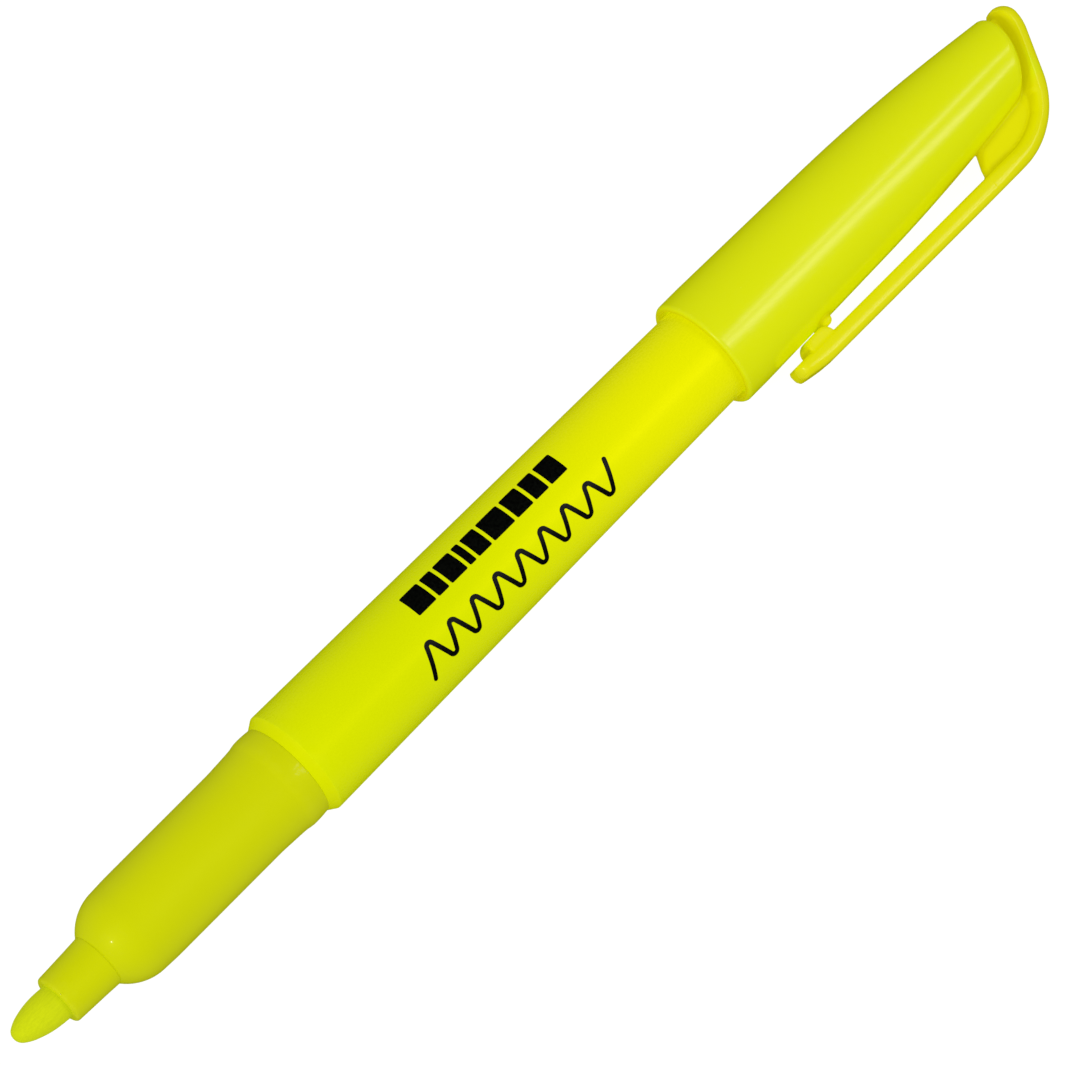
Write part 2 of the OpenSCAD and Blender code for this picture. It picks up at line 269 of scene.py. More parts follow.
def surface_of(solid, around, xs, second, third, polar):
    """Closed mesh of where solid(x, s, w) is zero: one point in each grid cell that the surface
    crosses, moved onto it. The grid is x, s, w, or x, angle and radius where polar is true. Also
    its wear, from how sharply it bends, and its painted shade, darker the closer around(x, s, w)
    comes."""
    gx, g2, g3 = np.meshgrid(xs, second, third, indexing="ij")
    place = np.stack([gx, g3 * np.cos(g2), g3 * np.sin(g2)] if polar else [gx, g2, g3], -1)
    value = solid(place[..., 0], place[..., 1], place[..., 2])
    if polar:
        place = np.concatenate([place, place[:, :1]], 1)
        value = np.concatenate([value, value[:, :1]], 1)
    inside = value < 0
    shape = tuple(n - 1 for n in value.shape)
    total, count = np.zeros(shape + (3,)), np.zeros(shape)
    changes = []
    for axis in range(3):
        a = [slice(None)] * 3
        b = [slice(None)] * 3
        a[axis], b[axis] = slice(None, -1), slice(1, None)
        a, b = tuple(a), tuple(b)
        change = inside[a] != inside[b]
        changes.append((change, inside[a]))
        t = np.where(change, value[a] / np.where(change, value[a] - value[b], 1), 0)
        cross = (place[a] + t[..., None] * (place[b] - place[a])) * change[..., None]
        others = [k for k in range(3) if k != axis]
        for d0 in (0, 1):
            for d1 in (0, 1):
                pick = [slice(None)] * 3
                pick[others[0]] = slice(d0, d0 + shape[others[0]])
                pick[others[1]] = slice(d1, d1 + shape[others[1]])
                total += cross[tuple(pick)]
                count += change[tuple(pick)]
    used = count > 0
    points = total[used] / count[used][:, None]
    number = np.full(shape, -1)
    number[used] = np.arange(len(points))
    # a cell before the first: the last one where the grid closes on itself
    first = number[:, -1:] if polar else np.full_like(number[:, :1], -1)
    number = np.concatenate([first, number], 1)
    faces = []

    def add(change, was_inside, corners):
        quads = np.stack([c[change] for c in corners], 1)
        flip = ~was_inside[change]
        quads[flip] = quads[flip][:, ::-1]
        faces.extend(map(tuple, quads[(quads >= 0).all(1)].tolist()))

    last = -1 if polar else None
    change, was = changes[0]
    c, w = change[:, :last, 1:-1], was[:, :last, 1:-1]
    n = number if polar else np.concatenate([number, np.full_like(number[:, :1], -1)], 1)
    add(c, w, [n[:, :-1, :-1], n[:, 1:, :-1], n[:, 1:, 1:], n[:, :-1, 1:]])
    change, was = changes[1]
    c, w = change[1:-1, :, 1:-1], was[1:-1, :, 1:-1]
    m = number[:, 1:]
    add(c, w, [m[:-1, :, :-1], m[:-1, :, 1:], m[1:, :, 1:], m[1:, :, :-1]])
    change, was = changes[2]
    c, w = change[1:-1, :last], was[1:-1, :last]
    add(c, w, [n[:-1, :-1], n[1:, :-1], n[1:, 1:], n[:-1, 1:]])
    if polar:
        for i in np.nonzero(changes[0][0][:, 0, 0])[0]:
            ring = number[i, 1:, 0].tolist()
            faces.append(tuple(ring if not inside[i, 0, 0] else ring[::-1]))
    unit = np.eye(3)
    for _ in range(5):
        here = solid(*points.T)
        slope = np.stack([solid(*(points + unit[k] * SLOPE_STEP).T) - here for k in range(3)], 1)
        slope = slope / SLOPE_STEP
        move = slope * (here / np.maximum((slope ** 2).sum(1), 0.2))[:, None]
        far = np.linalg.norm(move, axis=1, keepdims=True)
        points = points - move * np.minimum(1, 0.12 / np.maximum(far, 1e-9))
    bend = sum(solid(*(points + unit[k] * d).T)
               for k in range(3) for d in (-BEND_REACH, BEND_REACH))
    wear = np.clip((bend / BEND_REACH ** 2 - SHARP_FROM) / SHARP_SPAN, 0, 1)
    normal = slope / np.maximum(np.linalg.norm(slope, axis=1, keepdims=True), 1e-9)
    # painted shade: how much nearby solid would block light, baked into each point
    hollow = sum(np.clip(1 - around(*(points + normal * d).T) / d, 0, 1) for d in PAINTED_SHADE_REACH)
    points, faces = outward_fast(points, faces)
    return points, faces, {"wear": wear, "hollow": hollow / len(PAINTED_SHADE_REACH)}


def outward_fast(points, faces):
    """outward() for a mesh whose faces are nearly all quads."""
    quads = np.array([f for f in faces if len(f) == 4])
    a, b, c, d = (points[quads[:, k]] for k in range(4))
    volume = (a * np.cross(b, c)).sum() + (a * np.cross(c, d)).sum()
    return points, [f[::-1] for f in faces] if volume < 0 else faces


def spaced(*spans):
    """Grid lines over spans (from, to, spacing) that follow each other."""
    lines = []
    for a, b, gap in spans:
        n = max(1, round((b - a) / gap))
        lines += [a + (b - a) * k / n for k in range(n)]
    return np.array(lines + [spans[-1][1]])


def arc(cx, cy, r, a, b, n):
    """Points of an arc round (cx, cy), from a to b degrees in n steps."""
    return [(cx + r * math.cos(math.radians(a + (b - a) * k / n)),
             cy + r * math.sin(math.radians(a + (b - a) * k / n))) for k in range(n + 1)]


# ---------------------------------------------------------------- cap

def cap_radius(u):
    """Radius of the cap's outside at a distance u from its mouth."""
    straight, crown, slow, rate = 21, 42, 0.0195, 0.0046
    curved = np.clip(u, straight, crown) - straight
    return (CAP_R - slow * np.maximum(0, u - 3) - rate * curved ** 2 / 2
            - rate * (crown - straight) * np.maximum(0, u - crown))


# the cavity: a lead-in, the ring that snaps over the bead, a taper to the seat, an even wall
DEEP_U = (27, 30, 33, 36, 39, 44)
CAVITY_U = [-1, -0.1, 0.1, 3, 3.6, 4.2, 6, SEAT_U, *DEEP_U]
CAVITY_R = ([5.87, 5.87, 5.72, 5.72, 5.58, 5.72, 5.68, 5.26]
            + [float(cap_radius(np.array(float(u)))) - CAP_WALL for u in DEEP_U])

# outlines in the clip's plane, of the strap over the cap's end and the web in its corner
end_out = STRAP_X + STRAP_LIFT / math.cos(SLANT)
bend_s = ARM_OUT - BEND_R
bend_x = end_out - bend_s * math.tan(SLANT) - BEND_R / math.cos(SLANT)
top_x, top_s, top_r = end_out + 0.72, 4.02, 1.85
STRAP_OUTSIDE = ([(PIVOT - 2, ARM_OUT), (PIVOT, ARM_OUT)]
                 + arc(bend_x, bend_s, BEND_R, 90, 24.5, 28)
                 + [(end_out + x, s)
                    for x, s in ((0.29, -0.3), (0.44, -0.7), (0.56, -1.1), (0.65, -1.55))]
                 + arc(top_x - top_r, top_r - top_s, top_r, 0, -90, 10))
STRAP_INSIDE = ([(108.5, 0.02 - top_s), (108.2, 0.1 - top_s), (108.0, 0.3 - top_s),
                 (107.83, -3), (107.35, -1), (106.87, 0), (106.05, 1.5), (105.2, 3.0),
                 (104.45, 4.3)]
                + [(bend_x + r * math.cos(a), bend_s + r * math.sin(a)) for r, a in (
                    (7.6 + 0.3 * min(1, k / 4), math.radians(42 + 3 * k)) for k in range(17))]
                + [(PIVOT, ARM_OUT - ARM_T), (PIVOT - 2, ARM_OUT - ARM_T)])
STRAP = STRAP_OUTSIDE + STRAP_INSIDE
WEB = ([(96.5, 5.0), (96.2, 5.6), (95.5, 6.9), (95.1, 8.1)]
       + arc(bend_x, bend_s, BEND_R - ARM_T / 2, 90, 40, 10)
       + [(107, 2), (108.2, -2.4), (108.1, -3.3), (107.3, -3.3), (105, -1), (104, 1),
          (102.7, 3.9)])


def edge_radius(s, mid, outer, inner):
    """Radius of the clip's edges: outer beyond mid, inner on the cap's side."""
    return np.where(s > mid, outer, inner)


def crown(outline):
    """How far the clip's side falls back toward the outline's edges."""
    return np.maximum(0, ARM_T / 2 + np.maximum(outline, -ARM_T / 2)) ** 2 / (2 * SIDE_R)


def slanted_end(x, s):
    """Signed distance to the cap's slanted, slightly curved end."""
    slant, curve, furthest = 0.350, 0.0325, 107.75
    end = (x - (END_X - slant * s - curve * s * s)) * 0.93
    return np.maximum(end, x - furthest)


def cap_solid(x, s, w):
    """The cap with the strap, the web and the rib, negative inside."""
    r = np.hypot(s, w)
    u = x - MOUTH
    body = round_and(r - cap_radius(u), slanted_end(x, s), END_R)
    body = round_and(body, -u - LIP, LIP_R)
    near_end = x > PIVOT - 2.5
    strap = np.full(x.shape, 9.0)
    web = np.full(x.shape, 9.0)
    xs, ss, ws = x[near_end], s[near_end], np.abs(w[near_end])
    mid = np.where(xs < bend_x, ARM_OUT - ARM_T / 2, -99.0)
    onto = np.clip((xs - PIVOT - 1) / 8, 0, 1)     # the edges get rounder toward the strap
    outline = inside_outline(xs, ss, STRAP)
    edge = edge_radius(ss, mid, 0.7 + 0.9 * onto, 0.5 + 1.1 * onto)
    band = round_and(outline, ws - ARM_HALF + crown(outline), edge)
    strap[near_end] = np.maximum(band, PIVOT - xs)
    web_half = WEB_HALF + 0.5 * np.clip((xs - 103.5) / 3, 0, 1)
    web[near_end] = round_and(inside_outline(xs, ss, WEB), ws - web_half, 0.75)
    rib_s = float(cap_radius(np.array(STOP_U))) - 0.08
    rib = round_and(np.hypot(u - STOP_U, s - rib_s) - STOP_R, np.abs(w) - ARM_HALF + 0.1, 0.65)
    body = round_or(body, strap, 0.18)
    body = round_or(body, web, 0.2)
    body = round_or(body, rib, 0.15)
    cavity = round_and(r - np.interp(u, CAVITY_U, CAVITY_R), u - CAVITY_LEN, 0.4)
    return round_and(body, -cavity, 0.12)


ARM_IN = ARM_OUT - ARM_T
ARM = ([(96.0, ARM_OUT), (96.0, ARM_IN), (PIVOT, ARM_IN), (TIP_X + 0.3, ARM_IN - 0.12),
        (TIP_X, ARM_IN + 0.18)]
       + arc(TIP_X + 0.9, ARM_OUT - 1.42, 0.9, 180, 120, 6)
       + [(TIP_X + 1.9, ARM_OUT - 0.37), (TIP_X + 2.9, ARM_OUT - 0.22),
          (TIP_X + 4.2, ARM_OUT - 0.11), (PIVOT, ARM_OUT)])
BOSS_X = MOUTH + BOSS_U
BOSS_S = float(cap_radius(np.array(BOSS_U))) + BOSS_GAP
BOSS_R = 1.15
BOSS = ([(BOSS_X - 1.7, ARM_IN + 0.3)]
        + arc(BOSS_X - 0.55, BOSS_S + BOSS_R, BOSS_R, 180, 270, 8)
        + arc(BOSS_X + 0.55, BOSS_S + BOSS_R, BOSS_R, 270, 360, 8)
        + [(BOSS_X + 1.7, ARM_IN + 0.3)])


def arm_solid(x, s, w):
    """The clip's arm and boss, negative inside. Its root runs on inside the strap, a hair
    smaller."""
    tip = np.clip((TIP_X + 1.2 - x) / 1.2, 0, 1)
    half = ARM_HALF - 1.2 * (1 - np.sqrt(1 - tip ** 2 * 0.999))
    outline = inside_outline(x, s, ARM)
    edge = edge_radius(s, ARM_OUT - ARM_T / 2, 0.7, 0.5)
    arm = round_and(outline, np.abs(w) - half + crown(outline), edge)
    boss = round_and(inside_outline(x, s, BOSS), np.abs(w) - ARM_HALF + 0.3, 0.3)
    sink = np.clip((x - PIVOT + 0.3) / 0.4, 0, 1)
    return round_or(arm, boss, 0.15) + 0.02 * sink * sink * (3 - 2 * sink)


# ---------------------------------------------------------------- materials

class Nodes:
    """A material's nodes, added and joined in one call each."""

    def __init__(self, name):
        self.material = bpy.data.materials.new(name)
        self.material.use_nodes = True
        self.material.cycles.emission_sampling = "NONE"
        self.tree = self.material.node_tree
        self.tree.nodes.clear()

    def add(self, kind, outputs=0, **inputs):
        """A new node's output. Inputs are named, with _ for a space, or i0, i1 and so on."""
        node = self.tree.nodes.new(kind)
        settings = inputs.pop("settings", {})
        for key, value in settings.items():
            setattr(node, key, value)
        for key, value in inputs.items():
            numbered = key[0] == "i" and key[1:].isdigit()
            socket = node.inputs[int(key[1:]) if numbered else key.replace("_", " ")]
            if isinstance(value, bpy.types.NodeSocket):
                self.tree.links.new(value, socket)
            else:
                socket.default_value = value
        return node.outputs[outputs]

    def surface(self, shader):
        """The finished material, with this shader on its surface."""
        out = self.tree.nodes.new("ShaderNodeOutputMaterial")
        self.tree.links.new(shader, out.inputs["Surface"])
        return self.material


def noise(n, where, size_mm, stretch=(1, 1, 1), detail=3.0, rough=0.55):
    """Noise whose features are about size_mm across, longer along an axis where stretch is
    below 1."""
    scale = tuple(1000 / size_mm * k for k in stretch)
    scaled = n.add("ShaderNodeMapping", Vector=where, Scale=scale)
    return n.add("ShaderNodeTexNoise", Vector=scaled, Scale=1.0, Detail=detail, Roughness=rough)


def ramp(n, value, low, high, a=0.0, b=1.0):
    """The value, with low to high mapped onto a to b and held there outside."""
    return n.add("ShaderNodeMapRange", Value=value, i1=low, i2=high, i3=a, i4=b)


def mix(n, amount, a, b):
    """Colour a, going to b as amount goes from 0 to 1."""
    return n.add("ShaderNodeMix", 2, settings={"data_type": "RGBA"}, i0=amount, i6=a, i7=b)


def multiply(n, a, b):
    return n.add("ShaderNodeMath", settings={"operation": "MULTIPLY"}, i0=a, i1=b)


def multiply_add(n, a, b, c):
    return n.add("ShaderNodeMath", settings={"operation": "MULTIPLY_ADD"}, i0=a, i1=b, i2=c)


def stored(n, name):
    """A value that make_piece() stored at each point."""
    return n.add("ShaderNodeAttribute", 2, settings={"attribute_name": name})


ALONG_FLOW = (0.35, 1, 1)        # features three times longer along the pen
ALONG_SCRATCH = (0.035, 1, 1)
CLOUD_MM, PATCH_MM, SPECK_MM, GRAIN_MM, SCRATCH_MM = 9, 1.1, 0.35, 0.16, 0.22
GRAIN_DEPTH = 0.00002            # metres


def plastic(name, colour, shade, pale, rough, grain, tint, coat=0.0, scratches=0.3, glow=0.0,
            thin=None):
    """Moulded plastic: slow colour variation from the melt, a fine moulded grain, faint handling
    scratches along the pen and paler, rougher edges where the wear attribute is high. Painted
    light makes the colour lighter where light would come through the wall, and painted shade
    makes it a deeper yellow with weaker reflections in corners."""
    n = Nodes(name)
    where = n.add("ShaderNodeTexCoord", 3)
    cloud = noise(n, where, CLOUD_MM, ALONG_FLOW, 2.0)
    speck = noise(n, where, SPECK_MM, detail=2.0)
    fine = noise(n, where, GRAIN_MM, detail=3.0)
    scratch = ramp(n, noise(n, where, SCRATCH_MM, ALONG_SCRATCH, 2.0, 0.4), 0.66, 0.74)
    patch = ramp(n, noise(n, where, PATCH_MM), 0.38, 0.6)
    worn = multiply(n, stored(n, "wear"), patch)
    base = mix(n, ramp(n, cloud, 0.3, 0.7), (*colour, 1), (*shade, 1))
    base = mix(n, ramp(n, speck, 0.55, 0.75, 0.0, 0.12), base, (*shade, 1))
    base = mix(n, ramp(n, worn, 0.0, 1.0, 0.0, 0.3), base, (*pale, 1))
    # painted light: a lighter colour where light would come through the wall
    if thin:
        base = mix(n, stored(n, "thin"), base, (*thin, 1))
    # painted shade: the colour goes to a deeper yellow and the reflection weakens where the stored
    # shade is high
    shaded = stored(n, "hollow")
    base = mix(n, ramp(n, shaded, 0.04, 0.42, 0.0, 0.9), base, (*PAINTED_SHADE_YELLOW, 1))
    shine = ramp(n, shaded, 0.01, 0.11, 0.5, 0.05)
    roughness = ramp(n, speck, 0.3, 0.7, rough - 0.03, rough + 0.04)
    roughness = multiply_add(n, scratch, 0.12 * scratches, roughness)
    roughness = multiply_add(n, worn, 0.15, roughness)
    height = multiply_add(n, scratch, -0.25 * scratches, fine)
    bump = n.add("ShaderNodeBump", Strength=grain, Distance=GRAIN_DEPTH, Height=height)
    # the emission is a painted glow: the surface gives off its own colour whatever light falls on
    # it
    return n.surface(n.add(
        "ShaderNodeBsdfPrincipled", Base_Color=base, Roughness=roughness, Normal=bump, IOR=1.5,
        Specular_IOR_Level=shine, Specular_Tint=(*tint, 1), Coat_Weight=coat,
        Coat_Roughness=0.08, Emission_Color=base, Emission_Strength=glow))


def fibres(name, colour, shade, size_mm, depth, sheen=0.3, glow=0.2):
    """Bundled fibres that run along the pen: fine streaks of colour and height, and a soft
    sheen."""
    n = Nodes(name)
    where = n.add("ShaderNodeTexCoord", 3)
    streak = noise(n, where, size_mm, (0.12, 1, 1), 3.0)
    pore = noise(n, where, size_mm * 0.8, detail=4.0, rough=0.65)
    base = mix(n, ramp(n, streak, 0.35, 0.65), (*colour, 1), (*shade, 1))
    base = mix(n, ramp(n, pore, 0.5, 0.72, 0.0, 0.5), base, (*shade, 1))
    height = multiply_add(n, streak, 0.8, pore)
    bump = n.add("ShaderNodeBump", Strength=0.7, Distance=depth, Height=height)
    roughness = ramp(n, pore, 0.3, 0.7, 0.78, 0.95)
    # the emission is a painted glow: the fibres give off their own colour whatever light falls on
    # them
    return n.surface(n.add(
        "ShaderNodeBsdfPrincipled", Base_Color=base, Roughness=roughness, Normal=bump,
        Specular_IOR_Level=0.25, Sheen_Weight=sheen, Sheen_Roughness=0.5,
        Sheen_Tint=(*colour, 1), Emission_Color=base, Emission_Strength=glow))


YELLOW = (0.640, 0.722, 0.0)
YELLOW_SHADE = (0.620, 0.706, 0.0)
CAP_YELLOW = (0.668, 0.724, 0.0)
CAP_SHADE = (0.648, 0.706, 0.0)
YELLOW_PALE = (0.71, 0.785, 0.015)
# the yellow painted into shaded corners
PAINTED_SHADE_YELLOW = (0.58, 0.55, 0.0)
GLOW = 0.28       # painted glow: a steady emission of the surface's colour, partly the fluorescent pigment giving back light, partly lifting the shade
gloss_barrel = plastic(
    "barrel_gloss", YELLOW, YELLOW_SHADE, YELLOW_PALE, rough=0.27, grain=0.025,
    tint=(1, 0.8, 0.0), glow=GLOW, thin=(0.755, 0.775, 0.0))
gloss_cap = plastic(
    "cap_gloss", CAP_YELLOW, CAP_SHADE, YELLOW_PALE, rough=0.20, grain=0.05,
    tint=(1, 0.85, 0.8), glow=GLOW, thin=(0.695, 0.682, 0.0))
gloss_plug = plastic(
    "plug_gloss", YELLOW, YELLOW_SHADE, YELLOW_PALE, rough=0.3, grain=0.12,
    tint=(1, 1, 0.3), glow=GLOW)
satin_grip = plastic(
    "grip_satin", (0.572, 0.618, 0.0), (0.548, 0.594, 0.0), (0.61, 0.65, 0.02), rough=0.42,
    grain=0.35, tint=(1, 0.9, 0.1), coat=0.14, scratches=0.6, glow=GLOW)
liner = plastic(
    "liner_natural", (0.80, 0.82, 0.62), (0.76, 0.79, 0.55), (0.86, 0.87, 0.74), rough=0.4,
    grain=0.2, tint=(1, 1, 0.9))
film = plastic(
    "wrap_film_clear", (0.86, 0.88, 0.66), (0.82, 0.85, 0.6), (0.9, 0.9, 0.8), rough=0.2,
    grain=0.1, tint=(1, 1, 1))
tube_white = plastic(
    "tube_white", (0.82, 0.82, 0.76), (0.78, 0.79, 0.72), (0.88, 0.88, 0.84), rough=0.35,
    grain=0.15, tint=(1, 1, 1))
felt = fibres("nib_felt_fibres", (0.62, 0.70, 0.0), (0.565, 0.645, 0.0), 0.16, 0.000025)
ink_core = fibres("ink_fibre_bundle", (0.66, 0.78, 0.02), (0.58, 0.7, 0.0), 0.25, 0.00006)


def pad_ink():
    """Pad-printed ink: a thin black film, a little uneven and semi-gloss."""
    n = Nodes("pad_ink_black")
    where = n.add("ShaderNodeTexCoord", 3)
    uneven = noise(n, where, 0.3, detail=4.0)
    black, thinner = (0.001, 0.0012, 0.001, 1), (0.004, 0.005, 0.003, 1)
    base = mix(n, ramp(n, uneven, 0.35, 0.7), black, thinner)
    roughness = ramp(n, uneven, 0.3, 0.7, 0.3, 0.45)
    bump = n.add("ShaderNodeBump", Strength=0.2, Distance=0.00001, Height=uneven)
    return n.surface(n.add(
        "ShaderNodeBsdfPrincipled", Base_Color=base, Roughness=roughness, Normal=bump,
        Specular_IOR_Level=0.2))


# ---------------------------------------------------------------- barrel

def wall_thinness(points):
    """Painted light: from 0 to 1 toward the rear, where the wall gets thinner, a lighter colour
    is painted as if light came through.
    """
    k = np.clip((np.asarray(points)[:, 0] - 18) / 38, 0, 1)
    return k * k * (3 - 2 * k)


def inner_rib(angle):
    """A rib inside the barrel that holds the ink reservoir, sunk into the tapering wall."""
    near, far, inside, half = 13.8, 77.2, 4.0, 0.35
    ds, dw = math.cos(angle), math.sin(angle)
    points = [(x, r * ds - side * dw, r * dw + side * ds)
              for x, wall in ((near, 4.75), (far, 4.5)) for r in (inside, wall)
              for side in (-half, half)]
    return points, [(0, 1, 3, 2), (4, 6, 7, 5), (0, 4, 5, 1), (2, 3, 7, 6), (0, 2, 6, 4),
                    (1, 5, 7, 3)]


barrel_outline = soft_corners([
    (-BEVEL_LEN, 4.9, 0.04), (-BEVEL_LEN, 5.5, 0.05), (-0.02, 6.19, 0.22),
    (BARREL_LEN, REAR_R, 0.3), (BARREL_LEN, 4.3, 0.15), (78.2, 4.3, 0.2), (77.2, 4.35, 0.2),
    (13.3, 4.7, 0.2), (12.3, 4.9, 0.2)])
points, faces = turned(barrel_outline, 192)
for k in range(4):
    rib_points, rib_faces = inner_rib(math.pi / 2 * k - CLIP_DROP)
    faces += [tuple(len(points) + i for i in face) for face in rib_faces]
    points += rib_points
# painted shade on the barrel's front bevel, to darken it where it faces the light
bevel_shade = np.clip((-0.02 - np.asarray(points)[:, 0]) / 0.12, 0, 1)
barrel = make_piece(
    "barrel_shell", points, faces, gloss_barrel, thin=wall_thinness(points), hollow=0.13 * bevel_shade,
    wear=edge_wear(points, [(-0.1, 0.35, 0.4), (BARREL_LEN - 0.1, 0.5, 0.7)]))
stands_for(barrel, "barrel", "body")

# ---------------------------------------------------------------- front section

DOME_SINK = 0.3          # the dome's centre lies this far past the axis
NOZZLE_BASE_R = 3.08
BORE_R = 2.07
dome_end = math.degrees(math.asin((NOZZLE_BASE_R + 0.1 + DOME_SINK) / DOME_R))
nozzle_base = GRIP_X - DOME_R * math.cos(math.radians(dome_end))
lip = soft_corners([(-30, BORE_R, 0), (NOZZLE_END, BORE_R, 0.1), (NOZZLE_END, NOZZLE_R, 0.42),
                    (-30, 2.98, 0)], closed=False)
dome = arc(GRIP_X, -DOME_SINK, DOME_R, 180 - dome_end + 1.5, 91, 30)
grip_line = smooth_through([
    (-23.2, 5.225), (-22.2, 5.262), (-21, 5.27), (-18, 5.275), (-12, 5.28), (-9, 5.285),
    (-7.4, 5.29), (-6.6, 5.32), (-5.8, 5.36), (-5.1, 5.395), (-4.6, 5.42), (-4.1, 5.455),
    (-3.8, 5.49), (-3.55, 5.54), (-3.3, 5.585), (-3.0, 5.615), (-2.6, 5.62),
    (-2.1, 5.605), (-1.6, 5.57), (-BEVEL_LEN, 5.52)], 4)
spigot = soft_corners([(-BEVEL_LEN, 5.0, 0), (-BEVEL_LEN, 4.88, 0.02), (11, 4.88, 0),
                       (11.3, 4.58, 0), (11.3, 4.0, 0), (-17.2, 4.0, 0), (-17.2, 3.3, 0),
                       (-23, 3.3, 0), (-25.5, BORE_R, 0)], closed=False)
front_outline = (lip[1:] + [(nozzle_base - 0.12, 3.075), (nozzle_base - 0.03, 3.10)] + dome
                 + grip_line + spigot)
points, faces = turned(front_outline, 192)
front = make_piece(
    "front_shell", points, faces, satin_grip,
    wear=edge_wear(points, [(-3.1, 0.5, 0.3), (-33.8, 0.4, 0.7), (-33.8, 1.5, 0.2)]))
stands_for(front, "front_section", "body")

# ---------------------------------------------------------------- nib

nib_line = [(-39.50, 0.10), (-39.44, 0.42), (-39.28, 0.70), (-39.04, 0.93), (-38.55, 1.23),
            (-38.06, 1.45), (-37.57, 1.61), (-37.08, 1.745), (-36.58, 1.86), (-36.09, 1.94),
            (-35.6, 1.995), (-35.1, 2.03), (-34.5, NIB_R), (-33.3, NIB_R)]
nib_outline = [(-39.53, 0.0)] + smooth_through(nib_line, 3) + [
    (-20, NIB_R), (-15.4, NIB_R), (-13.3, 0.6), (-13.3, 0)]


def nib_centre(x):
    """The tip leans away from the clip's side, worn by writing."""
    return -NIB_LEAN * max(0.0, min(1.0, (-34.2 - x) / 5.2)) ** 0.9


points, faces = turned(nib_outline, 96, nib_centre)
nib = make_piece("nib_bullet", points, faces, felt)
stands_for(nib, "nib", "body")

# ---------------------------------------------------------------- cap and clip

# grid lines, closest at the lip, the rib, the clip's root and the strap
angles = np.radians(spaced((-30, 30, 1.25), (30, 330, 2.5)))[:-1]
lines_x = spaced((59.7, 60.7, 0.06), (60.7, 63, 0.2), (63, 65, 0.15), (65, 71.2, 0.6),
                 (71.2, 73.3, 0.1), (73.3, 92, 0.6), (92, 94.2, 0.2), (94.2, 95, 0.1),
                 (95, 110.5, 0.15))
lines_r = spaced((0, 4.6, 0.16), (4.6, 6.8, 0.09), (6.8, 10.2, 0.15))


# The nearness of these shapes gives the cap and the clip their painted shade; only the clip's root
# counts, where it hardly moves.
def near_cap(x, s, w):
    """The cap, and the clip at its root, where it hardly moves."""
    return np.minimum(cap_solid(x, s, w), np.maximum(arm_solid(x, s, w), ROOT - x))


def near_arm(x, s, w):
    """The clip, and the cap at the clip's root."""
    return np.minimum(arm_solid(x, s, w), np.maximum(cap_solid(x, s, w), ROOT - x))


def clip_thinness(points):
    """Painted light: 1 on the slim clip and strap, 0 on the cap; there a lighter, more orange
    colour is painted as if light came through.
    """
    x, s, w = np.asarray(points).T
    off_the_side = np.hypot(s, w) - cap_radius(x - MOUTH)
    past_the_end = x - 107.2
    return np.clip((np.maximum(off_the_side, past_the_end) - 0.1) / 0.5, 0, 1)


def painted_shade_corners(points):
    """Painted shade: deeper yellow on the inner half of the lip and on the slim web between cap
    and strap.
    """
    x, s, w = points.T
    r = np.hypot(s, w)
    lip = np.clip((6.45 - r) / 0.35, 0, 1) * (x < MOUTH + 0.8)
    web = (inside_outline(x, s, WEB) < 0) & (np.abs(w) < 1.6) & (r > cap_radius(x - MOUTH))
    return np.maximum(0.4 * lip, 0.11 * web)


# the cap's painted shade, from the nearness of the cap and the clip's root, with more painted on
# the lip and the web
points, faces, values = surface_of(cap_solid, near_cap, lines_x, angles, lines_r, True)
values["hollow"] = np.maximum(values["hollow"], painted_shade_corners(points))
cap = make_piece("cap_shell", points, faces, gloss_cap, thin=clip_thinness(points), **values)
stands_for(cap, "cap", "cap")

arm_x = spaced((64.5, 67, 0.11), (67, 72.2, 0.14), (72.2, 91, 0.6), (91, 96.3, 0.18))
arm_s, arm_w = spaced((6.3, 10.0, 0.11)), spaced((-2.6, 2.6, 0.13))
points, faces, values = surface_of(arm_solid, near_arm, arm_x, arm_s, arm_w, False)
arm = make_piece("clip_arm", points, faces, gloss_cap, thin=clip_thinness(points), **values)
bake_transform(arm)
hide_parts("clip")

# ---------------------------------------------------------------- printed mark

PRINT_SIDE = math.radians(60)    # height of the printed side's middle above the horizontal
OUT = Vector((0, -math.cos(PRINT_SIDE), math.sin(PRINT_SIDE)))
DOWN = Vector((0, -math.sin(PRINT_SIDE), -math.cos(PRINT_SIDE)))


def on_barrel(x, arc_mm, lift):
    """A point on the barrel, arc_mm round it from the middle of the printed side."""
    r = SHOULDER_R + (REAR_R - SHOULDER_R) * x / BARREL_LEN
    a = arc_mm / 5.8
    d = OUT * math.cos(a) + DOWN * math.sin(a)
    return ALONG * x + d * (r + lift)


